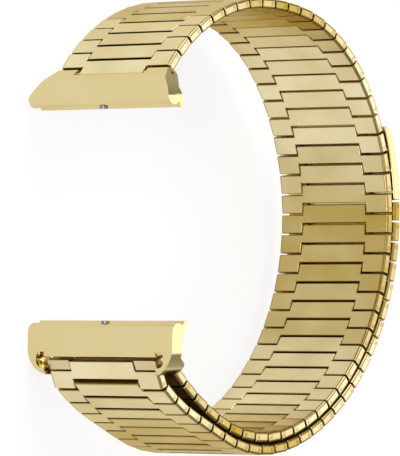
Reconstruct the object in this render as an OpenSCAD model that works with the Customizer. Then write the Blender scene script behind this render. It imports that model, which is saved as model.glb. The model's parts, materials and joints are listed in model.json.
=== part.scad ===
// Magnetic steel watch band: a strap of T-shaped links that closes as a loop.
// From the upper adapter it runs round the wrist, out through the slot of the lower adapter,
// back over itself, and ends in a magnetic tab. Z runs along the hinge pins.

/* [Strap] */
// Width of the strap
strap_w = 24; // [20:0.5:26]
// Link pitch, from one hinge pin to the next
link_pitch = 3.68; // [3.55:0.01:3.9]
// Thickness of a link
link_t = 1.8; // [1.5:0.05:1.9]
// Width of a link's centre block
centre_w = 14; // [10:0.5:16]
// Gap between the ends of neighbouring blocks
end_gap = 0.4; // [0.3:0.02:0.5]
// Gap beside a centre block
side_gap = 0.2; // [0.1:0.02:0.4]
// Bevel along the ends of each block
end_bevel = 0.28; // [0.2:0.02:0.35]
// Bevel along the side edges of the strap
edge_bevel = 0.25; // [0.1:0.05:0.4]
// Number of links in the inner layer, without the one in the slot
inner_links = 49; // [49:2:51]
// Number of links in the outer layer
outer_links = 27; // [15:2:27]

/* [Hinge pins] */
// Diameter of a hinge pin
pin_d = 0.8; // [0.6:0.05:0.9]
// Radial clearance of a pin in the tongue that turns on it
pin_play = 0.03; // [0.01:0.01:0.08]
// Radial clearance of a pin in the ears that hold it
pin_seat_play = 0.01; // [0.005:0.005:0.02]

/* [Loop] */
// Heading of the first link, up from straight back
first_heading = 46.9; // [40:0.5:55]
// Space between the two layers, past the fold
lap_gap = 0.4; // [0.3:0.05:1]
// Number of links over which the layers close up, past the fold
fold_links = 5; // [4:1:8]
// Turn of the last link before the slot
entry_turn = 13; // [8:1:18]
// Turn from that link into the slot
slot_turn = 79.5; // [75:0.5:84]

/* [Adapters] */
// First hinge pin behind the upper rail
first_pin_x = 2.9; // [2.5:0.1:3.5]
// First hinge pin above the upper rail
first_pin_y = 4.0; // [3.6:0.1:5]
// Radius of the rail that slides into the watch case
rail_r = 1.6; // [1.5:0.05:1.9]
// Radius of an adapter where it leaves its rail
neck_r = 1.4; // [1.3:0.05:1.5]
// Width that the upper adapter gains on each side, from the strap to the case
upper_flare = 3.5; // [2:0.25:4]
// Space on each side of the first tongue in the upper adapter
notch_gap = 0.8; // [0.3:0.1:1.2]
// Space between the strap and each end of the lower slot
slot_end_gap = 2.1; // [1.6:0.1:2.6]
// Space between the strap and the lugs that carry the lower bar
lug_gap = 1.0; // [0.4:0.1:1.2]
// Thickness of the lower adapter's cheeks
lower_wall = 1.9; // [1.2:0.1:2.2]
// Radius of the lower adapter's bottom corners
lower_corner = 3; // [2:0.25:4]
// Lower bar behind its rail
bar_x = 2.0; // [1.8:0.1:2.6]
// Lower bar below its rail
bar_y = 6.3; // [6.2:0.1:7]
// Clearance between the lower bar and the links that fold round it
bar_play = 0.13; // [0.1:0.01:0.2]
// Clearance above the link that lies in the slot
slot_play = 0.2; // [0.1:0.05:0.4]

/* [Lock studs] */
// Diameter of a lock stud
stud_d = 1.4; // [1.2:0.1:1.6]
// Diameter of the flange that keeps a stud in
flange_d = 2.0; // [1.9:0.05:2.1]
// Height that a stud stands out, which is also its travel
stud_travel = 0.4; // [0.3:0.05:0.5]
// Radial clearance round a stud
stud_play = 0.05; // [0.03:0.01:0.1]

/* [Magnetic tab] */
// Length of the tab's plate
tab_l = 13.8; // [11:0.2:16]
// Thickness of the tab's outer wall
tab_wall = 0.6; // [0.4:0.05:0.8]
// Length of the slant at the tab's free end
tip_l = 2.6; // [2:0.1:3.5]
// Slope of that slant, in degrees
tip_slope = 24; // [10:1:26]
// Width of the tab's rim round its magnets
tab_rim = 1.6; // [1.2:0.1:2.5]
// Thickness of the magnets
magnet_t = 0.5; // [0.3:0.05:0.55]
// Number of magnets across the tab
magnet_count = 3; // [2:1:4]
// Gap between neighbouring magnets
magnet_gap = 0.3; // [0.2:0.1:1]
// Thickness of the keeper sheet behind the magnets
keeper_t = 0.25; // [0.2:0.05:0.3]
// Clearance between the pieces inside the tab
tab_play = 0.03; // [0.02:0.01:0.05]

/* [Hidden] */
$fn = 48;
arc_step = 9;                           // degrees from point to point along an arc
tab_facets = 360;
strap_gold = [0.80, 0.70, 0.42];
bright_gold = [0.90, 0.80, 0.55];
dark_steel = [0.35, 0.33, 0.30];
magnet_grey = [0.20, 0.20, 0.22];

// The loop, as arcs: hinges in the arc and degrees that each of them turns
ring_arcs = [[8, 5.9], [3, 4.2], [6, 7.0], [17, 5.25], [4, 5.6], [5, 7.6], [inner_links - 45, 4.4]];

half_t = link_t / 2;
half_w = strap_w / 2;
block_near = link_pitch / 4 - end_gap / 2;      // from a pin to the end of the block round it
block_far = link_pitch / 4 + end_gap / 2;       // from a pin to the end of the next block
side_in = centre_w / 2 + side_gap;
slot_link = inner_links + 1;
last_link = slot_link + outer_links;
layer_step = link_t + lap_gap;
bar_r = (link_pitch - link_t) / 2 - bar_play;
bar_reach = half_t + bar_play + bar_r;          // from the bar's centre to the middle of a link on it
eps = 0.01;

// Rails and necks of the adapters
tail_x = 2.0;                           // end of the tail that hugs the case
tail_drop = 1.6;
tail_r = 0.4;
tail_thin = 0.2;                        // the tail is this much thinner than the neck
tail_tip = [tail_x, -tail_drop];
first_pin = [first_pin_x, first_pin_y];
neck_back = 1.9;                        // the upper neck lies this far before the first pin
neck_drop = 1.8;                        // and this far below it
ear_wall = 0.25;                        // the ears reach this far past the first link's end
flare_power = 1.3;                      // how late the flare opens; 1 is a straight taper
upper_neck = first_pin - [neck_back, neck_drop];
head_r = block_near + ear_wall;
upper_top = first_pin_y + head_r;
upper_half_w = half_w + upper_flare;
bar_at = [bar_x, bar_y];
lower_neck_x = -0.3;
lower_neck_y = 2.0;
cheek_x = -0.4;
cheek_rise = 1.2;                       // the cheek's round end lies this far above the bar
cheek_r = 1.4;
slot_corner = 1;
lower_neck = [lower_neck_x, lower_neck_y];
cheek_end = [cheek_x, bar_y - cheek_rise];
lower_bottom = cheek_end[1] + cheek_r;
slot_top = bar_y - bar_reach - half_t - slot_play;
slot_half = half_w + slot_end_gap;
lower_half_w = slot_half + lower_wall;
lug_wall = 0.35;                        // wall of a lug round the bar's end
lug_x = 0.5;                            // a lug leaves the cheek this far from the cheek's round end
lug_y = 0.4;
lug_t = slot_end_gap - lug_gap;
lug_r = bar_r + lug_wall;
lug_root = cheek_end + [lug_x, -lug_y];

// Lock studs, measured along the stud from the rail's centre
flange_t = 0.4;
flange_depth = 0.5;                     // depth of the flange's seat below the rail's face
flange_seat = rail_r - flange_depth;
spring_floor = 1.3;                     // end of the bore, on the other side of the centre
spring_wall = 0.35;
seat_play = 0.02;

function dir(a) = [cos(a), sin(a)];
function left(a) = [-sin(a), cos(a)];
function pick(list, i) = list[min(max(i, 0), len(list) - 1)];
function pad(n) = n < 10 ? str("0", n) : str(n);

// Turns at the hinges after links 1, 2, 3 and so on, then the fold round the bar
ring_turns = [for (arc = ring_arcs) for (i = [1 : arc[0]]) -arc[1]];
inner_turns = concat(ring_turns, [-entry_turn], [slot_turn]);
inner_heads = [for (i = 0, h = first_heading; i <= inner_links; h = h + pick(inner_turns, i), i = i + 1) h];
inner_pins = [for (i = 0, p = [first_pin_x, first_pin_y]; i <= slot_link;
    p = p + link_pitch * dir(pick(inner_heads, i)), i = i + 1) p];

// Point beside the inner layer, s links along it and a distance outside it
function node_normal(i) = left((pick(inner_heads, i - 1) + pick(inner_heads, i)) / 2);
function beside(s, away) =
    let (i = min(floor(s), inner_links - 1), t = s - i,
        n = node_normal(i) * (1 - t) + node_normal(i + 1) * t)
    inner_pins[i] * (1 - t) + inner_pins[i + 1] * t + away * n / norm(n);

// The fold: link by link over the lower bar, which lies beside the middle of the link in the slot
slot_start = inner_pins[inner_links];
slot_end = inner_pins[slot_link];
slot_head = inner_heads[inner_links];
bar_c = (slot_start + slot_end) / 2 + left(slot_head) * bar_reach;
to_bar = bar_c - slot_end;
fold_head = atan2(to_bar[1], to_bar[0]) - asin(bar_reach / norm(to_bar));
fold_pin = slot_end + link_pitch * dir(fold_head);

// Distance between the layers, m links past the slot
last_inner = inner_pins[inner_links - 1];
fold_away = (fold_pin - last_inner) * left(inner_heads[inner_links - 2]);
fold_s = inner_links - 1 + (fold_pin - last_inner) * dir(inner_heads[inner_links - 2]) / link_pitch;
function lap_away(m) =
    layer_step + (fold_away - layer_step) * (1 + cos(180 * min(1, (m - 1) / fold_links))) / 2;
function seek(from, away, low, high, steps) =
    let (mid = (low + high) / 2)
    steps == 0 ? mid :
    norm(beside(mid, away) - from) > link_pitch
        ? seek(from, away, mid, high, steps - 1)
        : seek(from, away, low, mid, steps - 1);

// Outer layer: each pin is one pitch from the last, on a line beside the inner layer
outer_places = [for (m = 1, s = fold_s, p = fold_pin; m <= outer_links;
    s = seek(p, lap_away(m + 1), s - 2, s, 24), p = beside(s, lap_away(m + 1)), m = m + 1) [s, p]];
pins = concat(inner_pins, [for (place = outer_places) place[1]]);
heads = [for (k = [1 : last_link]) let (d = pins[k] - pins[k - 1]) atan2(d[1], d[0])];

// The tab follows the arc beside the inner layer
tab_s = outer_places[outer_links - 1][0];
tab_normal = beside(tab_s, 1) - beside(tab_s, 0);
tab_head = atan2(tab_normal[1], tab_normal[0]) + 90;
tab_turn = ring_turns[floor(tab_s) - 2];        // the ring's arc under the tab
tab_r = link_pitch / (abs(tab_turn) * PI / 180) + layer_step;
function tab_angle(length) = length / tab_r * 180 / PI;
tab_start = tab_angle(block_far);
tab_end = tab_angle(block_far + tab_l);
pocket_start = tab_angle(block_far + tab_rim);
pocket_end = tab_angle(block_far + tab_l - tip_l);
pocket_half = half_w - tab_rim;
pocket_r = tab_r + half_t - tab_wall;
cover_r = tab_r - half_t;
magnet_top = pocket_r - 2 * tab_play - keeper_t;

// Links go in pairs, apart from those at the fold
pair_starts = concat([for (k = [1 : 2 : inner_links - 1]) k], [for (k = [slot_link + 2 : 2 : last_link - 1]) k]);
single_links = [inner_links, slot_link, slot_link + 1];
function pair_name(k) = str("links_", pad(k), "_", pad(k + 1));
function single_name(k) = str("link_", pad(k));

// Rectangle from [x0, y0] to [x1, y1] with its corners cut off
module bevelled(x0, y0, x1, y1, c) {
    polygon([[x0 + c, y0], [x1 - c, y0], [x1, y0 + c], [x1, y1 - c],
        [x1 - c, y1], [x0 + c, y1], [x0, y1 - c], [x0, y0 + c]]);
}

// Points along an arc round c
function arc(c, r, from, to) =
    let (steps = max(2, ceil(abs(to - from) / arc_step)))
    [for (i = [0 : steps]) c + r * dir(from + (to - from) * i / steps)];

// Angles at which the right and left sides of a taper touch its two circles
function touch(a, ra, b, rb) =
    let (way = atan2(b[1] - a[1], b[0] - a[0]), lean = acos((ra - rb) / norm(b - a)))
    [way - lean, way + lean];

// Where the tangent at one angle of a circle meets the tangent at another angle of a second circle
function tangents_meet(a, ra, angle_a, b, rb, angle_b) =
    let (m = dir(angle_a), n = dir(angle_b), p = a * m + ra, q = b * n + rb, det = m[0] * n[1] - m[1] * n[0])
    [p * n[1] - q * m[1], m[0] * q - n[0] * p] / det;

module at_pin(i, head) {
    translate([pins[i][0], pins[i][1], 0]) rotate(head) children();
}

module pin_hole(play, length) {
    cylinder(r = pin_d / 2 + play, h = length, center = true);
}

// Centre block and side blocks are cut from one bar, half a pitch apart
module link_blank() {
    linear_extrude(centre_w, center = true)
        bevelled(-block_near, -half_t, block_near + link_pitch / 2, half_t, end_bevel);
    for (side = [0, 1]) mirror([0, 0, side]) {
        translate([0, 0, side_in]) linear_extrude(half_w - side_in)
            bevelled(block_far, -half_t, link_pitch + block_near, half_t, end_bevel);
        translate([block_far, -half_t, centre_w / 2 - eps])
            cube([link_pitch / 2 - end_gap, link_t, side_gap + 2 * eps]);
    }
}

// A link turns on the pin at its origin and holds the next pin in its ears
module link() {
    color(strap_gold) difference() {
        intersection() {
            link_blank();
            rotate([0, 90, 0]) translate([0, 0, -link_pitch]) linear_extrude(3 * link_pitch)
                bevelled(-half_w, -half_t, half_w, half_t, edge_bevel);
        }
        cylinder(r = pin_d / 2 + pin_play, h = strap_w, center = true);
        translate([link_pitch, 0, 0]) cylinder(r = pin_d / 2 + pin_seat_play, h = 2 * strap_w, center = true);
    }
    color(bright_gold) translate([link_pitch, 0, 0]) cylinder(d = pin_d, h = strap_w, center = true);
}

module placed_link(k) {
    at_pin(k - 1, heads[k - 1]) link();
}

module link_pair(k) {
    placed_link(k);
    placed_link(k + 1);
}

// Side of an adapter, seen along the pins: rail, neck and ears, and the tail along the back of the case
module adapter_side(neck, ear, ear_r) {
    rail = [0, 0];
    below = touch(rail, rail_r, neck, neck_r);
    above = touch(neck, neck_r, ear, ear_r);
    polygon(concat(
        [tangents_meet(rail, rail_r, below[0], ear, ear_r, above[0])],
        arc(ear, ear_r, above[0], above[1]),
        arc(neck, neck_r, above[1], below[1]),
        arc(rail, rail_r, below[1], below[0] + 360)));
    base_r = neck_r - tail_thin;
    tail = touch(neck, base_r, tail_tip, tail_r);
    polygon(concat(
        [neck + base_r * dir(tail[1]), neck + base_r * dir(tail[0])],
        arc(tail_tip, tail_r, tail[0], tail[1])));
}

// Bore for a lock stud, its flange and its spring, from the inner face of the rail
module stud_bore() {
    rotate([90, 0, 0]) {
        translate([0, 0, flange_seat - eps]) cylinder(r = stud_d / 2 + stud_play, h = rail_r);
        translate([0, 0, -spring_floor]) cylinder(r = flange_d / 2 + stud_play, h = spring_floor + flange_seat);
    }
}

module lock_stud() {
    color(dark_steel) rotate([90, 0, 0]) {
        translate([0, 0, flange_seat - flange_t]) {
            cylinder(d = flange_d, h = flange_t - seat_play);
            cylinder(d = stud_d, h = rail_r + stud_travel - flange_seat + flange_t);
        }
    }
}

module lock_spring() {
    outer = flange_d / 2 - stud_play;
    pressed = spring_floor + flange_seat - flange_t - stud_travel;
    color(dark_steel) rotate([90, 0, 0]) translate([0, 0, seat_play - spring_floor]) difference() {
        cylinder(r = outer, h = pressed - 2 * seat_play);
        translate([0, 0, -eps]) cylinder(r = outer - spring_wall, h = pressed);
    }
}

// Half width of the upper adapter at a height above its rail
function upper_half(y) = half_w + upper_flare * (1 - pow(max(0, y) / upper_top, flare_power));

module upper_outline() {
    steps = 8;
    below = -2 * rail_r;
    heights = concat([below], [for (i = [0 : steps]) upper_top * i / steps], [upper_top + 1]);
    polygon(concat([for (y = heights) [y, -upper_half(min(y, upper_top))]],
        [for (i = [len(heights) - 1 : -1 : 0]) [heights[i], upper_half(min(heights[i], upper_top))]]));
}

// Cuts along X with an outline that is drawn as height against width
module across() {
    long = 12 * rail_r;
    translate([-long / 2, 0, 0]) rotate([90, 0, 90]) linear_extrude(long) children();
}

module upper_adapter() {
    notch_half = centre_w / 2 + notch_gap;
    notch = 4 * link_t;
    color(bright_gold) difference() {
        intersection() {
            linear_extrude(2 * upper_half_w, center = true) adapter_side(upper_neck, first_pin, head_r);
            across() upper_outline();
        }
        translate([first_pin_x, first_pin_y, 0]) {
            rotate(first_heading) translate([-block_far, -notch / 2, -notch_half])
                cube([notch, notch, 2 * notch_half]);
            pin_hole(pin_seat_play, 3 * strap_w);
        }
        stud_bore();
    }
}

module upper_pin() {
    color(bright_gold) translate([first_pin_x, first_pin_y, 0])
        cylinder(d = pin_d, h = strap_w, center = true);
}

// Band of a given half width up to x1, with its corners there rounded
module round_end(x0, x1, half, r) {
    polygon(concat(
        [[x0, half], [x0, -half]],
        arc([x1 - r, r - half], r, -90, 0),
        arc([x1 - r, half - r], r, 0, 90)));
}

module lower_outline() {
    round_end(-2 * rail_r, lower_bottom, lower_half_w, lower_corner);
}

module slot_outline() {
    mirror([1, 0]) round_end(-2 * lower_bottom, -slot_top, slot_half, slot_corner);
}

module lug_side() {
    sides = touch(lug_root, cheek_r / 2, bar_at, lug_r);
    polygon(concat(
        arc(bar_at, lug_r, sides[0], sides[1]),
        arc(lug_root, cheek_r / 2, sides[1], sides[0] + 360)));
}

// Lower adapter in its own frame: rail at the origin, Y away from the case
module lower_frame() {
    color(bright_gold) {
        difference() {
            intersection() {
                linear_extrude(2 * lower_half_w, center = true)
                    adapter_side(lower_neck, cheek_end, cheek_r);
                across() lower_outline();
            }
            across() slot_outline();
            stud_bore();
        }
        for (side = [0, 1]) mirror([0, 0, side]) translate([0, 0, slot_half - lug_t])
            linear_extrude(lug_t + lower_wall / 2) lug_side();
        translate([bar_x, bar_y, 0]) cylinder(r = bar_r, h = 2 * slot_half - lug_t, center = true);
    }
}

// Puts a shape in the lower adapter's frame, by the place of its bar
module at_lower() {
    translate([bar_c[0] - bar_x, bar_c[1] + bar_y, 0]) mirror([0, 1, 0]) children();
}

// Part of a ring round the tab's own centre, between two angles
module tab_sector(r0, r1, a0, a1) {
    big = 2 * tab_r;
    intersection() {
        difference() {
            circle(r = r1, $fn = tab_facets);
            circle(r = r0, $fn = tab_facets);
        }
        polygon([[0, 0], big * dir(-90 + a0), big * dir(-90 + (a0 + a1) / 2), big * dir(-90 + a1)]);
    }
}

// Puts a shape that is drawn round the tab's centre at the last pin
module at_tab() {
    at_pin(last_link, tab_head) translate([0, tab_r, 0]) children();
}

module tab_body() {
    color(bright_gold) difference() {
        union() {
            at_tab() difference() {
                linear_extrude(strap_w, center = true) tab_sector(cover_r, tab_r + half_t, tab_start, tab_end);
                // the free end slants in towards the strap
                rotate(tab_end) translate([-tip_l, -tab_r - half_t, 0]) rotate(tip_slope)
                    translate([0, -4 * link_t, -strap_w]) cube([2 * tip_l, 4 * link_t, 2 * strap_w]);
            }
            at_pin(last_link, tab_head) linear_extrude(centre_w, center = true)
                bevelled(-block_near, -half_t, block_far + tab_rim / 2, half_t, end_bevel);
        }
        at_tab() linear_extrude(2 * pocket_half, center = true)
            tab_sector(cover_r - 1, pocket_r, pocket_start, pocket_end);
        at_pin(last_link, 0) pin_hole(pin_play, 2 * strap_w);
    }
}

module tab_layer(r0, r1, half) {
    edge = tab_angle(tab_play);
    at_tab() linear_extrude(2 * half, center = true)
        tab_sector(r0, r1, pocket_start + edge, pocket_end - edge);
}

module tab_keeper() {
    color(dark_steel) tab_layer(pocket_r - tab_play - keeper_t, pocket_r - tab_play, pocket_half - tab_play);
}

module tab_magnets() {
    free = 2 * (pocket_half - tab_play);
    each_w = (free - (magnet_count - 1) * magnet_gap) / magnet_count;
    color(magnet_grey) for (i = [0 : magnet_count - 1])
        translate([0, 0, -free / 2 + each_w / 2 + i * (each_w + magnet_gap)])
            tab_layer(magnet_top - magnet_t, magnet_top, each_w / 2);
}

module tab_cover() {
    color(bright_gold) tab_layer(cover_r, magnet_top - magnet_t - tab_play, pocket_half - tab_play);
}

upper_adapter();
upper_pin();
lock_stud();  // upper_lock_stud
lock_spring();  // upper_lock_spring
for (k = pair_starts) link_pair(k);
for (k = single_links) placed_link(k);
at_lower() lower_frame();  // lower_adapter
at_lower() lock_stud();  // lower_lock_stud
at_lower() lock_spring();  // lower_lock_spring
tab_body();
tab_keeper();
tab_magnets();
tab_cover();
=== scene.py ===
# Magnetic steel watch band: links, finishes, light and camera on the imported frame.
import json
import math

import bmesh
import bpy
from mathutils import Matrix, Vector

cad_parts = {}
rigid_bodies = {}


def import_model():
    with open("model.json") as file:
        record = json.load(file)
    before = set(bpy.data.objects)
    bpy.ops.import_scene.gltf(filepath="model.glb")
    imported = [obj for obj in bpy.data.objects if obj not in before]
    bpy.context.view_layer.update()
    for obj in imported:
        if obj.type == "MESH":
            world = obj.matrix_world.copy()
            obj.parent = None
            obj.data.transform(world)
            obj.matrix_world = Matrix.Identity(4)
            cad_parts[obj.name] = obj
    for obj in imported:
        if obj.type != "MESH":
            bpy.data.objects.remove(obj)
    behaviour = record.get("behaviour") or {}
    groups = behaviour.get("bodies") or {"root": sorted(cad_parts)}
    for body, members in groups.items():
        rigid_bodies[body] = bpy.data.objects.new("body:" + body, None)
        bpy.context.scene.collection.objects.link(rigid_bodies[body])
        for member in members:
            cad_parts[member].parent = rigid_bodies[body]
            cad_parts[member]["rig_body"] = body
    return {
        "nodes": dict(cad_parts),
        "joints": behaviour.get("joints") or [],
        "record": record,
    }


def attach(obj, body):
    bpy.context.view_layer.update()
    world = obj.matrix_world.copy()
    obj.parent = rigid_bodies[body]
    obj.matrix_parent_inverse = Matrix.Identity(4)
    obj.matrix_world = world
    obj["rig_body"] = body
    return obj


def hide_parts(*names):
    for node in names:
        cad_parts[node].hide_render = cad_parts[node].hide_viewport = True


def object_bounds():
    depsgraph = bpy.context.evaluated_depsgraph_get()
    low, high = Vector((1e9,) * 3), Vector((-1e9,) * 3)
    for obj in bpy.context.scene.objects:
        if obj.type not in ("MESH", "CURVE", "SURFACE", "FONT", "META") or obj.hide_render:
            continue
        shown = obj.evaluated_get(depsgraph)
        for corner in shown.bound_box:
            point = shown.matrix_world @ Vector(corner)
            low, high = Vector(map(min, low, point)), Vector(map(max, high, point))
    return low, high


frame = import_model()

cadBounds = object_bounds()
mm = 0.001
scene = bpy.context.scene


# Camera of the photograph: 12 o'clock is up in the picture, seen from the front right
camera = {
    "target": (26.5, -22.5, 0.0),
    "distance": 1000.0,
    "yaw": 38.22,
    "pitch": -0.27,
    "roll": -0.35,
    "focalPixels": 5699.0,
    "picture": (400, 456),
    "sensorWidth": 36.0,
    "clip": (0.05, 20.0),
}


def addCamera(c):
    yaw, pitch, roll = (math.radians(c[k]) for k in ("yaw", "pitch", "roll"))
    back = Vector((-math.cos(yaw) * math.cos(pitch), math.sin(pitch), math.sin(yaw) * math.cos(pitch)))
    side = Vector((0, 1, 0)).cross(back).normalized()
    over = back.cross(side)
    right = side * math.cos(roll) + over * math.sin(roll)
    up = over * math.cos(roll) - side * math.sin(roll)
    data = bpy.data.cameras.new("photoCamera")
    data.sensor_fit = "HORIZONTAL"
    data.sensor_width = c["sensorWidth"]
    data.lens = c["focalPixels"] * data.sensor_width / c["picture"][0]
    data.clip_start, data.clip_end = c["clip"]
    obj = bpy.data.objects.new("photoCamera", data)
    scene.collection.objects.link(obj)
    place = (Vector(c["target"]) + back * c["distance"]) * mm
    turn = Matrix((right, up, back)).transposed().to_4x4()
    obj.matrix_world = Matrix.Translation(place) @ turn
    scene.camera = obj


addCamera(camera)
print("camera is in place")


# Light and floor
studio = {
    "floorSize": 3.0,
    "floorBelow": 0.05,             # mm under the part
    "floorColour": (0.93, 0.93, 0.93),
    "floorShare": 0.7,
    "floorGlow": 1.1,
    "skyColour": (1.0, 0.99, 0.97),
    # brightness at the horizon and overhead, and the heights between which it changes
    "skyHorizon": 0.55,
    "skyZenith": 0.34,
    "skyRise": (0.0, 0.5),
    "lamps": [
        # name, place, aims at, size, watts
        ("topLamp", (0.10, 0.75, 0.55), (0.03, 0.0, 0.0), 0.7, 4.0),
        ("overheadLamp", (-0.15, 0.0, 0.9), (0.03, -0.02, 0.0), 0.8, 2.0),
        ("frontLamp", (-0.8, -0.1, 0.35), (0.03, -0.02, 0.0), 0.5, 3.0),
        ("sideLamp", (0.74, -0.02, 0.56), (0.03, -0.02, 0.0), 0.6, 1.3),
    ],
}


def seenRays(nodes, links):
    # 1 for the rays that the camera, gloss and glass send out
    path = nodes.new("ShaderNodeLightPath")
    first = nodes.new("ShaderNodeMath")
    first.operation = "MAXIMUM"
    links.new(path.outputs["Is Camera Ray"], first.inputs[0])
    links.new(path.outputs["Is Glossy Ray"], first.inputs[1])
    both = nodes.new("ShaderNodeMath")
    both.operation = "MAXIMUM"
    links.new(first.outputs[0], both.inputs[0])
    links.new(path.outputs["Is Transmission Ray"], both.inputs[1])
    return both.outputs[0]


def addSky(s):
    world = bpy.data.worlds.new("studioSky")
    scene.world = world
    world.use_nodes = True
    nodes, links = world.node_tree.nodes, world.node_tree.links
    nodes.clear()
    output = nodes.new("ShaderNodeOutputWorld")
    sky = nodes.new("ShaderNodeBackground")
    sky.inputs["Color"].default_value = (*s["skyColour"], 1)
    place = nodes.new("ShaderNodeTexCoord")
    split = nodes.new("ShaderNodeSeparateXYZ")
    links.new(place.outputs["Generated"], split.inputs[0])
    rise = nodes.new("ShaderNodeMapRange")
    rise.interpolation_type = "SMOOTHSTEP"
    rise.inputs["From Min"].default_value, rise.inputs["From Max"].default_value = s["skyRise"]
    rise.inputs["To Min"].default_value = s["skyHorizon"]
    rise.inputs["To Max"].default_value = s["skyZenith"]
    links.new(split.outputs["Z"], rise.inputs["Value"])
    links.new(rise.outputs["Result"], sky.inputs["Strength"])
    links.new(sky.outputs[0], output.inputs["Surface"])


def addFloor(s, height):
    half = s["floorSize"] / 2
    mesh = bpy.data.meshes.new("floor")
    corners = [(-half, -half, height), (half, -half, height), (half, half, height), (-half, half, height)]
    mesh.from_pydata(corners, [], [(0, 1, 2, 3)])
    floor = bpy.data.objects.new("floor", mesh)
    scene.collection.objects.link(floor)
    material = bpy.data.materials.new("floorPaper")
    material.use_nodes = True
    nodes, links = material.node_tree.nodes, material.node_tree.links
    nodes.clear()
    output = nodes.new("ShaderNodeOutputMaterial")
    paper = nodes.new("ShaderNodeBsdfDiffuse")
    paper.inputs["Color"].default_value = (*s["floorColour"], 1)
    glow = nodes.new("ShaderNodeEmission")
    glow.inputs["Color"].default_value = (1, 1, 1, 1)
    glow.inputs["Strength"].default_value = s["floorGlow"]
    share = nodes.new("ShaderNodeMath")
    share.operation = "MULTIPLY"
    share.inputs[1].default_value = s["floorShare"]
    links.new(seenRays(nodes, links), share.inputs[0])
    mix = nodes.new("ShaderNodeMixShader")
    links.new(share.outputs[0], mix.inputs[0])
    links.new(paper.outputs[0], mix.inputs[1])
    links.new(glow.outputs[0], mix.inputs[2])
    links.new(mix.outputs[0], output.inputs["Surface"])
    mesh.materials.append(material)


def addLamps(s):
    for name, place, target, size, watts in s["lamps"]:
        data = bpy.data.lights.new(name, "AREA")
        data.shape = "DISK"
        data.size = size
        data.energy = watts
        lamp = bpy.data.objects.new(name, data)
        scene.collection.objects.link(lamp)
        lamp.location = place
        lamp.rotation_euler = (Vector(target) - Vector(place)).to_track_quat("-Z", "Y").to_euler()


scene.view_settings.view_transform = "Standard"
addSky(studio)
addFloor(studio, cadBounds[0][2] - studio["floorBelow"] * mm)
addLamps(studio)
print("floor and light are in place")


# Finishes: face colours of a bright and a dark link, the colour of the painted shade in the seams, and
# grain lengths in mm
finish = {
    "satin": {
        "gold": (0.87, 0.78, 0.50),
        "deepGold": (0.40, 0.27, 0.03),
        # painted shade: the colour that gaps and block ends take in place of their shadow
        "seamShadeGold": (0.26, 0.15, 0.02),
        "grazing": (0.80, 0.68, 0.42),
        "roughness": 0.27,
        "grainSize": 0.09,
        "grainLength": 4.0,
        "grainDepth": 0.05,
        "coat": 0.12,
    },
    "polished": {
        "gold": (0.86, 0.77, 0.52),
        "deepGold": (0.68, 0.56, 0.27),
        "seamShadeGold": (0.30, 0.20, 0.05),
        "grazing": (0.85, 0.76, 0.55),
        "roughness": 0.16,
        "grainSize": 0.16,
        "grainLength": 6.0,
        "grainDepth": 0.015,
        "coat": 0.25,
    },
    "darkSteel": {
        "gold": (0.30, 0.29, 0.28),
        "deepGold": (0.22, 0.21, 0.20),
        "seamShadeGold": (0.10, 0.10, 0.10),
        "grazing": (0.9, 0.9, 0.9),
        "roughness": 0.32,
        "grainSize": 0.12,
        "grainLength": 3.0,
        "grainDepth": 0.03,
        "coat": 0.0,
    },
}


# What all three finishes share; lengths in mm
surface = {
    "cloudSize": 9.0,
    "cloudShare": 0.5,
    "grainShare": 0.16,
    "roughShare": 0.16,
    "coatRoughness": 0.12,
    "coatIor": 1.9,
    "bumpStrength": 0.35,
}


def mathsNode(tree, operation, values):
    node = tree.nodes.new("ShaderNodeMath")
    node.operation = operation
    for socket, value in zip(node.inputs, values):
        if isinstance(value, float):
            socket.default_value = value
        else:
            tree.links.new(value, socket)
    return node.outputs[0]


def grainGroup():
    # fine scratches along the width of the strap, and a slow change of tone over several links
    group = bpy.data.node_groups.new("brushedGrain", "ShaderNodeTree")
    sizes = (("Grain Size", 0.0001), ("Grain Length", 0.004), ("Cloud Size", 0.012))
    for name, value in sizes:
        socket = group.interface.new_socket(name, in_out="INPUT", socket_type="NodeSocketFloat")
        socket.default_value = value
    group.interface.new_socket("Grain", in_out="OUTPUT", socket_type="NodeSocketFloat")
    group.interface.new_socket("Cloud", in_out="OUTPUT", socket_type="NodeSocketFloat")
    nodes, links = group.nodes, group.links
    given = nodes.new("NodeGroupInput")
    made = nodes.new("NodeGroupOutput")
    place = nodes.new("ShaderNodeTexCoord")
    split = nodes.new("ShaderNodeSeparateXYZ")
    links.new(place.outputs["Object"], split.inputs[0])
    scaled = nodes.new("ShaderNodeCombineXYZ")
    for axis, name in (("X", "Grain Size"), ("Y", "Grain Size"), ("Z", "Grain Length")):
        divide = nodes.new("ShaderNodeMath")
        divide.operation = "DIVIDE"
        links.new(split.outputs[axis], divide.inputs[0])
        links.new(given.outputs[name], divide.inputs[1])
        links.new(divide.outputs[0], scaled.inputs[axis])
    grain = nodes.new("ShaderNodeTexNoise")
    grain.inputs["Scale"].default_value = 1.0
    grain.inputs["Detail"].default_value = 2.0
    links.new(scaled.outputs[0], grain.inputs["Vector"])
    links.new(grain.outputs["Fac"], made.inputs["Grain"])
    wide = nodes.new("ShaderNodeVectorMath")
    wide.operation = "DIVIDE"
    spread = nodes.new("ShaderNodeCombineXYZ")
    for axis in "XYZ":
        links.new(given.outputs["Cloud Size"], spread.inputs[axis])
    links.new(place.outputs["Object"], wide.inputs[0])
    links.new(spread.outputs[0], wide.inputs[1])
    cloud = nodes.new("ShaderNodeTexNoise")
    cloud.inputs["Scale"].default_value = 1.0
    cloud.inputs["Detail"].default_value = 1.0
    links.new(wide.outputs[0], cloud.inputs["Vector"])
    links.new(cloud.outputs["Fac"], made.inputs["Cloud"])
    return group


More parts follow.
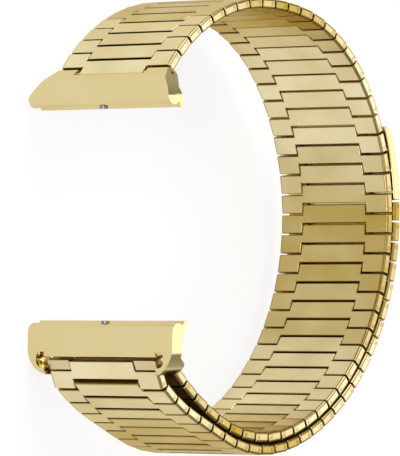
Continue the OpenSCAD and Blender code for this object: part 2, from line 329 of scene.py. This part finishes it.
def toneGroup(s):
    # colour and roughness from the grain, the link's tone with its painted reflection, and the mask of
    # painted shade in its seams
    group = bpy.data.node_groups.new("metalTone", "ShaderNodeTree")
    colours = ("Deep", "Face", "Seam")
    values = (("Grain", 0.5), ("Cloud", 0.5), ("Roughness", 0.3))
    for name in colours:
        group.interface.new_socket(name, in_out="INPUT", socket_type="NodeSocketColor")
    for name, value in values:
        socket = group.interface.new_socket(name, in_out="INPUT", socket_type="NodeSocketFloat")
        socket.default_value = value
    group.interface.new_socket("Colour", in_out="OUTPUT", socket_type="NodeSocketColor")
    group.interface.new_socket("Roughness", in_out="OUTPUT", socket_type="NodeSocketFloat")
    nodes, links = group.nodes, group.links
    given = nodes.new("NodeGroupInput")
    made = nodes.new("NodeGroupOutput")
    # the link's seeded tone plus its painted reflection
    shade = nodes.new("ShaderNodeAttribute")
    shade.attribute_name = "shade"
    seam = nodes.new("ShaderNodeAttribute")
    seam.attribute_name = "seam"

    def maths(operation, *values):
        return mathsNode(group, operation, values)

    def mixed(factor, a, b):
        node = nodes.new("ShaderNodeMix")
        node.data_type = "RGBA"
        links.new(factor, node.inputs["Factor"])
        links.new(a, node.inputs[6])
        links.new(b, node.inputs[7])
        return node.outputs[2]

    cloud = maths("SUBTRACT", given.outputs["Cloud"], 0.5)
    grain = maths("SUBTRACT", given.outputs["Grain"], 0.5)
    tone = maths("MULTIPLY_ADD", cloud, s["cloudShare"], shade.outputs["Fac"])
    tone = maths("MULTIPLY_ADD", grain, s["grainShare"], tone)
    face = mixed(tone, given.outputs["Deep"], given.outputs["Face"])
    # painted shade: the seams' faces take a darker colour where their shadow would fall
    face = mixed(seam.outputs["Fac"], face, given.outputs["Seam"])
    links.new(face, made.inputs["Colour"])
    uneven = maths("MULTIPLY_ADD", grain, s["roughShare"], given.outputs["Roughness"])
    links.new(uneven, made.inputs["Roughness"])
    return group


grainNodes = grainGroup()
toneNodes = toneGroup(surface)


def metal(name, f, s):
    material = bpy.data.materials.new(name)
    material.use_nodes = True
    nodes, links = material.node_tree.nodes, material.node_tree.links
    shader = nodes["Principled BSDF"]
    shader.inputs["Metallic"].default_value = 1.0
    shader.inputs["Coat Weight"].default_value = f["coat"]
    shader.inputs["Coat Roughness"].default_value = s["coatRoughness"]
    shader.inputs["Coat IOR"].default_value = s["coatIor"]
    shader.inputs["Specular Tint"].default_value = (*f["grazing"], 1)
    grain = nodes.new("ShaderNodeGroup")
    grain.node_tree = grainNodes
    grain.inputs["Grain Size"].default_value = f["grainSize"] * mm
    grain.inputs["Grain Length"].default_value = f["grainLength"] * mm
    grain.inputs["Cloud Size"].default_value = s["cloudSize"] * mm
    tone = nodes.new("ShaderNodeGroup")
    tone.node_tree = toneNodes
    tone.inputs["Deep"].default_value = (*f["deepGold"], 1)
    tone.inputs["Face"].default_value = (*f["gold"], 1)
    tone.inputs["Seam"].default_value = (*f["seamShadeGold"], 1)
    tone.inputs["Roughness"].default_value = f["roughness"]
    links.new(grain.outputs["Grain"], tone.inputs["Grain"])
    links.new(grain.outputs["Cloud"], tone.inputs["Cloud"])
    links.new(tone.outputs["Colour"], shader.inputs["Base Color"])
    links.new(tone.outputs["Roughness"], shader.inputs["Roughness"])
    bump = nodes.new("ShaderNodeBump")
    bump.inputs["Strength"].default_value = s["bumpStrength"]
    bump.inputs["Distance"].default_value = f["grainDepth"] * mm
    links.new(grain.outputs["Grain"], bump.inputs["Height"])
    links.new(bump.outputs["Normal"], shader.inputs["Normal"])
    return material


satinGold = metal("satinGold", finish["satin"], surface)
polishedGold = metal("polishedGold", finish["polished"], surface)
darkSteel = metal("darkSteel", finish["darkSteel"], surface)
print("finishes are made")


# Links: one bar with a centre block and two side blocks, turning on a pin through the next link
link = {
    "width": 24.0,
    "centreWidth": 14.0,
    "thickness": 1.8,
    "endGap": 0.4,
    "sideGap": 0.2,
    "sideRound": 0.45,
    "sideSteps": 4,
    "roundedEdge": 0.14,
    "edgeSteps": 2,
    "pinDiameter": 0.8,
    "pinTip": 0.85,             # of the pin's radius
    "pinRound": 0.02,
    "pinSides": 14,
    "pinProud": 0.015,
    # how far each face takes the painted shade of the seams: at the ends of the blocks, beside the centre
    # block, round the strap's sides, and on the two sides of a seam
    "endShade": 1.0,
    "gapShade": 0.25,
    "sideShade": 0.6,
    "wristShade": 0.8,
    "outerShade": 0.15,
    # less painted shade on the fold's links, which turn the ends of their blocks to the light
    "foldShade": 0.25,
    "foldBodies": ("link_49", "link_50", "link_51"),
    "shadeSeed": 7,
    "shadeLow": 0.36,
    "shadeHigh": 0.58,
    # painted reflection: a slow wave of lighter and darker tone along the strap, in place of the floor's
    # broad reflections
    "reflectionWaveLinks": 16.6,
    "reflectionWaveStart": 2.2,
    "reflectionWaveDepth": 0.34,
}

joints = {j["child"]: j for j in frame["joints"]}


def pinOf(body):
    x, y, _ = joints[body]["pos_m"]
    return Vector((x, y))


linkBodies = [b for b in frame["record"]["behaviour"]["bodies"] if b.startswith("link")]
startPins = [pinOf(b) for b in linkBodies] + [pinOf("tab")]
link["pitch"] = (pinOf("link_51") - pinOf("link_50")).length / mm


def middlePin(a, b, side):
    # the pin inside a pair of links is one pitch from both ends, on the outside of the curve
    way = b - a
    rise = math.sqrt(max(0.0, (link["pitch"] * mm) ** 2 - way.length_squared / 4))
    return (a + b) / 2 + Vector((-way.y, way.x)).normalized() * rise * side


def linkPlaces(index):
    a, b = startPins[index], startPins[index + 1]
    points = [a, b]
    if linkBodies[index].startswith("links"):
        inner = index < linkBodies.index("link_49")
        points = [a, middlePin(a, b, 1 if inner else -1), b]
    return [(p, math.atan2(q.y - p.y, q.x - p.x)) for p, q in zip(points, points[1:])]


def linkPlan(l):
    # outline of a link from above: the centre block, then the side blocks
    near = l["pitch"] / 4 - l["endGap"] / 2
    far = near + l["endGap"]
    centreEnd = near + l["pitch"] / 2
    sideEnd = l["pitch"] + near
    half, centre = l["width"] / 2, l["centreWidth"] / 2
    inside = centre + l["sideGap"]
    return [
        (-near, -centre), (-near, centre), (far, centre), (far, half), (sideEnd, half), (sideEnd, inside),
        (centreEnd, inside), (centreEnd, -inside), (sideEnd, -inside), (sideEnd, -half), (far, -half),
        (far, -centre),
    ]


# painted shade on the ends of the blocks and on the faces beside the centre block, where the gaps lie in
# shadow
def markSeamShade(bm, l, seamShadeDepth):
    flat, small = 0.9, 0.01
    seam = bm.faces.layers.float.new("seam")
    for face in bm.faces:
        face.normal_update()
        if abs(face.normal.x) > flat:
            face[seam] = seamShadeDepth
        elif abs(face.normal.z) > flat and abs(face.calc_center_median().z) < l["width"] / 2 - small:
            face[seam] = l["gapShade"]
    return seam


def roundLink(bm, l, seam, seamShadeDepth):
    # the strap's sides first, then every other sharp edge
    near, sharp, sloping, half = 0.001, 0.9, 0.3, l["width"] / 2
    outer = [e for e in bm.edges if all(abs(abs(v.co.z) - half) < near for v in e.verts)]
    outer = [e for e in outer if abs(e.verts[0].co.y - e.verts[1].co.y) < near]
    sides = bmesh.ops.bevel(
        bm, geom=outer, offset=l["sideRound"], segments=l["sideSteps"], profile=0.5, affect="EDGES",
    )
    for face in sides["faces"]:
        face[seam] = l["sideShade"]
    others = [e for e in bm.edges if len(e.link_faces) == 2 and e.calc_face_angle(0) > sharp]
    rounded = bmesh.ops.bevel(
        bm, geom=others, offset=l["roundedEdge"], segments=l["edgeSteps"], profile=0.5, affect="EDGES",
        clamp_overlap=True,
    )
    for face in rounded["faces"]:
        face.normal_update()
        # painted shade: the seams are darker on the inner layer's inside, which the fold turns outwards
        depth = l["wristShade"] if face.calc_center_median().y < 0 else l["outerShade"]
        face[seam] = depth * seamShadeDepth if abs(face.normal.x) > sloping else 0.0


def addPin(bm, l):
    # the pin is pressed into the ears and polished flush with them
    half, radius = l["width"] / 2, l["pinDiameter"] / 2
    reach, tip = half + l["pinProud"], radius * l["pinTip"]
    start = half - l["pinRound"]
    rings = []
    for z, r in ((-reach, tip), (-start, radius), (start, radius), (reach, tip)):
        ring = []
        for i in range(l["pinSides"]):
            a = 2 * math.pi * i / l["pinSides"]
            ring.append(bm.verts.new((l["pitch"] + r * math.cos(a), r * math.sin(a), z)))
        rings.append(ring)
    for a, b in zip(rings, rings[1:]):
        for i in range(l["pinSides"]):
            j = (i + 1) % l["pinSides"]
            bm.faces.new((a[i], a[j], b[j], b[i]))
    bm.faces.new(rings[0][::-1])
    bm.faces.new(rings[-1])


def linkMesh(l, seamShadeDepth):
    bm = bmesh.new()
    bar = bm.faces.new([bm.verts.new((x, -l["thickness"] / 2, z)) for x, z in linkPlan(l)])
    grown = bmesh.ops.extrude_face_region(bm, geom=[bar])
    top = [v for v in grown["geom"] if isinstance(v, bmesh.types.BMVert)]
    bmesh.ops.translate(bm, verts=top, vec=(0, l["thickness"], 0))
    bmesh.ops.recalc_face_normals(bm, faces=bm.faces)
    seam = markSeamShade(bm, l, seamShadeDepth)
    roundLink(bm, l, seam, seamShadeDepth)
    addPin(bm, l)
    bmesh.ops.scale(bm, vec=(mm, mm, mm), verts=bm.verts)
    for face in bm.faces:
        face.smooth = True
    mesh = bpy.data.meshes.new("oneLink")
    bm.to_mesh(mesh)
    bm.free()
    return mesh


def strapTree():
    # one link on each point, turned by the point's heading, with a seeded tone of its own plus a painted
    # reflection
    tree = bpy.data.node_groups.new("strapLinks", "GeometryNodeTree")
    inputs = (
        ("Geometry", "Geometry"), ("Link", "Object"), ("Shade Seed", "Int"), ("Shade Low", "Float"),
        ("Shade High", "Float"), ("Reflection Wave Links", "Float"), ("Reflection Wave Start", "Float"),
        ("Reflection Wave Depth", "Float"), ("Finish", "Material"),
    )
    for name, kind in inputs:
        tree.interface.new_socket(name, in_out="INPUT", socket_type="NodeSocket" + kind)
    tree.interface.new_socket("Geometry", in_out="OUTPUT", socket_type="NodeSocketGeometry")
    nodes, links = tree.nodes, tree.links
    given = nodes.new("NodeGroupInput")
    made = nodes.new("NodeGroupOutput")
    source = nodes.new("GeometryNodeObjectInfo")
    links.new(given.outputs["Link"], source.inputs["Object"])
    heading = nodes.new("GeometryNodeInputNamedAttribute")
    heading.data_type = "FLOAT"
    heading.inputs["Name"].default_value = "heading"
    turn = nodes.new("ShaderNodeCombineXYZ")
    links.new(heading.outputs["Attribute"], turn.inputs["Z"])
    number = nodes.new("GeometryNodeInputNamedAttribute")
    number.data_type = "INT"
    number.inputs["Name"].default_value = "linkNumber"
    shade = nodes.new("FunctionNodeRandomValue")
    shade.data_type = "FLOAT"
    links.new(given.outputs["Shade Low"], shade.inputs["Min"])
    links.new(given.outputs["Shade High"], shade.inputs["Max"])
    links.new(number.outputs["Attribute"], shade.inputs["ID"])
    links.new(given.outputs["Shade Seed"], shade.inputs["Seed"])

    def maths(operation, *values):
        return mathsNode(tree, operation, values)

    # painted reflection: the tone rises and falls slowly along the strap, in place of the floor's broad
    # reflections
    along = maths("SUBTRACT", number.outputs["Attribute"], given.outputs["Reflection Wave Start"])
    turns = maths("DIVIDE", along, given.outputs["Reflection Wave Links"])
    paintedReflection = maths("COSINE", maths("MULTIPLY", turns, 2 * math.pi))
    tone = maths("MULTIPLY_ADD", paintedReflection, given.outputs["Reflection Wave Depth"], shade.outputs["Value"])
    placed = nodes.new("GeometryNodeInstanceOnPoints")
    links.new(given.outputs["Geometry"], placed.inputs["Points"])
    links.new(source.outputs["Geometry"], placed.inputs["Instance"])
    links.new(turn.outputs[0], placed.inputs["Rotation"])
    stored = nodes.new("GeometryNodeStoreNamedAttribute")
    stored.data_type = "FLOAT"
    stored.domain = "INSTANCE"
    stored.inputs["Name"].default_value = "shade"
    links.new(placed.outputs[0], stored.inputs["Geometry"])
    links.new(tone, stored.inputs["Value"])
    real = nodes.new("GeometryNodeRealizeInstances")
    links.new(stored.outputs[0], real.inputs[0])
    coated = nodes.new("GeometryNodeSetMaterial")
    links.new(real.outputs[0], coated.inputs["Geometry"])
    links.new(given.outputs["Finish"], coated.inputs["Material"])
    links.new(coated.outputs[0], made.inputs[0])
    return tree


# a link with painted shade on the ends of its blocks, and one with less of it for the fold
linkSource = bpy.data.objects.new("oneLink", linkMesh(link, link["endShade"]))
foldSource = bpy.data.objects.new("foldLink", linkMesh(link, link["foldShade"]))
linkTree = strapTree()


def evenNormals(obj):
    level = obj.modifiers.new("faceNormals", "WEIGHTED_NORMAL")
    level.mode = "FACE_AREA"
    level.weight = 90


def applyModifiers(obj):
    bpy.context.view_layer.update()
    evaluated = obj.evaluated_get(bpy.context.evaluated_depsgraph_get())
    mesh = bpy.data.meshes.new_from_object(evaluated)
    obj.modifiers.clear()
    obj.data = mesh


def setInputs(modifier, values):
    for item in modifier.node_group.interface.items_tree:
        if item.item_type == "SOCKET" and item.in_out == "INPUT" and item.name in values:
            modifier[item.identifier] = values[item.name]


def addLinks(index):
    body = linkBodies[index]
    places = linkPlaces(index)
    firstNumber = sum(len(linkPlaces(i)) for i in range(index)) + 1
    mesh = bpy.data.meshes.new("points")
    mesh.from_pydata([(p.x, p.y, 0) for p, _ in places], [], [])
    heading = mesh.attributes.new("heading", "FLOAT", "POINT")
    number = mesh.attributes.new("linkNumber", "INT", "POINT")
    for i, (_, angle) in enumerate(places):
        heading.data[i].value = angle
        number.data[i].value = firstNumber + i
    name = "strap" + body[0].upper() + body[1:]
    obj = bpy.data.objects.new(name, mesh)
    scene.collection.objects.link(obj)
    modifier = obj.modifiers.new("strapLinks", "NODES")
    modifier.node_group = linkTree
    setInputs(modifier, {
        "Link": foldSource if body in link["foldBodies"] else linkSource,
        "Shade Seed": link["shadeSeed"], "Shade Low": link["shadeLow"], "Shade High": link["shadeHigh"],
        "Reflection Wave Links": link["reflectionWaveLinks"], "Reflection Wave Start": link["reflectionWaveStart"], "Reflection Wave Depth": link["reflectionWaveDepth"],
        "Finish": satinGold,
    })
    evenNormals(obj)
    applyModifiers(obj)
    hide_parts(body)
    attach(obj, body)
    return len(places)


linkCount = sum(addLinks(i) for i in range(len(linkBodies)))
print("links:", linkCount, "pitch", round(link["pitch"], 3), "mm")


# Adapters and tab are copies of their CAD shape with rounded edges; small parts keep the CAD's mesh
castPieces = {
    # node: rounded edge in mm, finish, slot
    "upper_adapter": (0.22, polishedGold, "polished_gold"),
    "lower_adapter": (0.22, polishedGold, "polished_gold"),
    "tab_body": (0.22, polishedGold, "polished_gold"),
}
plainPieces = {
    "upper_pin": polishedGold, "tab_cover": polishedGold, "upper_lock_stud": darkSteel,
    "lower_lock_stud": darkSteel, "upper_lock_spring": darkSteel, "lower_lock_spring": darkSteel,
    "tab_keeper": darkSteel, "tab_magnets": darkSteel,
}
# Welding in mm, and how the cast pieces' edges are rounded
castEdges = {
    "firstWeld": 0.002,
    "lastWeld": 0.05,
    "flatAngle": 0.5,
    "steps": 3,
    "fromAngle": 32,
    "unclamped": "tab_body",
}
# The lower adapter's cheeks also close in below the ends of the slot, as far as the strap, its
# corners are wider, and a lip hangs in front of the slot
foot = {
    "cheekFrom": (-2.4, 1.2),       # from the bar to the centre of the cheek's round end
    "cheekDrop": 1.0,
    "cheekRadius": 1.4,
    "barRadius": 1.16,
    "inside": 12.35,
    "outside": 15.98,
    "slotHalf": 14.1,
    "slotFloor": 0.22,              # above the bar's centre
    "slotRise": 3.2,
    "slotCorner": 1.2,
    "bottom": -1.2,
    "corner": 5.0,
    "adapterHalf": 16.02,
    "cornerSteps": 80,
    "lip": ((-1.69, -1.15), (-44.6, -43.6)),    # x and y, in front of the slot
    "reach": 9.0,
}


def hullOf(points):
    # outline of the points, anticlockwise
    points = sorted(set(points))
    halves = []
    for run in (points, points[::-1]):
        chain = []
        for p in run:
            while len(chain) > 1:
                (ax, ay), (bx, by) = chain[-2:]
                if (bx - ax) * (p[1] - ay) - (by - ay) * (p[0] - ax) > 0:
                    break
                chain.pop()
            chain.append(p)
        halves.append(chain[:-1])
    return halves[0] + halves[1]


def circlePoints(x, y, r, count=40):
    turns = [2 * math.pi * i / count for i in range(count)]
    return [(x + r * math.cos(a), y + r * math.sin(a)) for a in turns]


def prism(name, outline, low, high, along):
    # an outline in mm, drawn along Z or along X
    mesh = bpy.data.meshes.new(name)
    count = len(outline)
    if along == "Z":
        points = [(x, y, z) for z in (low, high) for x, y in outline]
    else:
        points = [(x, y, z) for x in (low, high) for z, y in outline]
    faces = [tuple(range(count)), tuple(range(2 * count - 1, count - 1, -1))]
    faces += [(i, (i + 1) % count, count + (i + 1) % count, count + i) for i in range(count)]
    mesh.from_pydata([tuple(v * mm for v in p) for p in points], [], faces)
    bm = bmesh.new()
    bm.from_mesh(mesh)
    bmesh.ops.recalc_face_normals(bm, faces=bm.faces)
    bm.to_mesh(mesh)
    bm.free()
    return bpy.data.objects.new(name, mesh)


def combine(obj, other, operation):
    scene.collection.objects.link(other)
    step = obj.modifiers.new(operation.lower(), "BOOLEAN")
    step.operation = operation
    step.solver = "EXACT"
    step.object = other
    applyModifiers(obj)
    bpy.data.objects.remove(other)


def closeCheeks(obj, f):
    bar = pinOf("lower_adapter") / mm
    cheek = bar + Vector(f["cheekFrom"])
    side = circlePoints(cheek.x, cheek.y, f["cheekRadius"])
    side += circlePoints(cheek.x, cheek.y - f["cheekDrop"], f["cheekRadius"])
    side = hullOf(side + circlePoints(bar.x, bar.y, f["barRadius"]))
    floor, half, r = bar.y + f["slotFloor"], f["slotHalf"], f["slotCorner"]
    slot = [(half, floor + f["slotRise"]), (-half, floor + f["slotRise"])]
    slot = hullOf(slot + circlePoints(half - r, floor + r, r) + circlePoints(r - half, floor + r, r))
    half, r, bottom = f["adapterHalf"], f["corner"], bar.y + f["bottom"]
    steps, above = f["cornerSteps"], bottom + 4 * r
    corners = circlePoints(half - r, bottom + r, r, steps) + circlePoints(r - half, bottom + r, r, steps)
    outline = hullOf([(half, above), (-half, above)] + corners)
    low, high = bar.x - f["reach"], bar.x + f["reach"]
    for sign in (-1, 1):
        ends = sorted((sign * f["inside"], sign * f["outside"]))
        cheekFoot = prism("cheekFoot", side, *ends, "Z")
        scene.collection.objects.link(cheekFoot)
        combine(cheekFoot, prism("slotCutter", slot, low, high, "X"), "DIFFERENCE")
        scene.collection.objects.unlink(cheekFoot)
        combine(obj, cheekFoot, "UNION")
    (left, right), (under, over) = f["lip"]
    lip = [(left, under), (right, under), (right, over), (left, over)]
    combine(obj, prism("lip", lip, -f["inside"], f["inside"], "Z"), "UNION")
    combine(obj, prism("adapterOutline", outline, low, high, "X"), "INTERSECT")


def tidied(mesh, weld):
    # joins flat faces and takes out the short edges that would hold the rounding back
    bm = bmesh.new()
    bm.from_mesh(mesh)
    bmesh.ops.remove_doubles(bm, verts=bm.verts, dist=weld * mm)
    bmesh.ops.dissolve_degenerate(bm, edges=bm.edges, dist=weld * mm)
    flat = math.radians(castEdges["flatAngle"])
    bmesh.ops.dissolve_limit(bm, angle_limit=flat, verts=bm.verts, edges=bm.edges)
    bm.to_mesh(mesh)
    bm.free()
    for polygon in mesh.polygons:
        polygon.use_smooth = True


def roundedCopy(node, width, material):
    # a welded copy of the CAD shape with its edges rounded
    mesh = frame["nodes"][node].data.copy()
    mesh.name = node
    tidied(mesh, castEdges["firstWeld"])
    mesh.materials.clear()
    mesh.materials.append(material)
    words = node.split("_")
    name = words[0] + "".join(w.capitalize() for w in words[1:])
    obj = bpy.data.objects.new(name, mesh)
    scene.collection.objects.link(obj)
    if node == "lower_adapter":
        closeCheeks(obj, foot)
    tidied(obj.data, castEdges["lastWeld"])
    rounded = obj.modifiers.new("roundedEdges", "BEVEL")
    rounded.width = width * mm
    rounded.segments = castEdges["steps"]
    rounded.use_clamp_overlap = node != castEdges["unclamped"]
    rounded.limit_method = "ANGLE"
    rounded.angle_limit = math.radians(castEdges["fromAngle"])
    evenNormals(obj)
    applyModifiers(obj)
    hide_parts(node)
    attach(obj, frame["nodes"][node]["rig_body"])
    print(name, len(obj.data.polygons), "faces")


for node, (width, material, slotName) in castPieces.items():
    roundedCopy(node, width, material)
for node, material in plainPieces.items():
    obj = frame["nodes"][node]
    for slot in obj.material_slots:
        slot.material = material
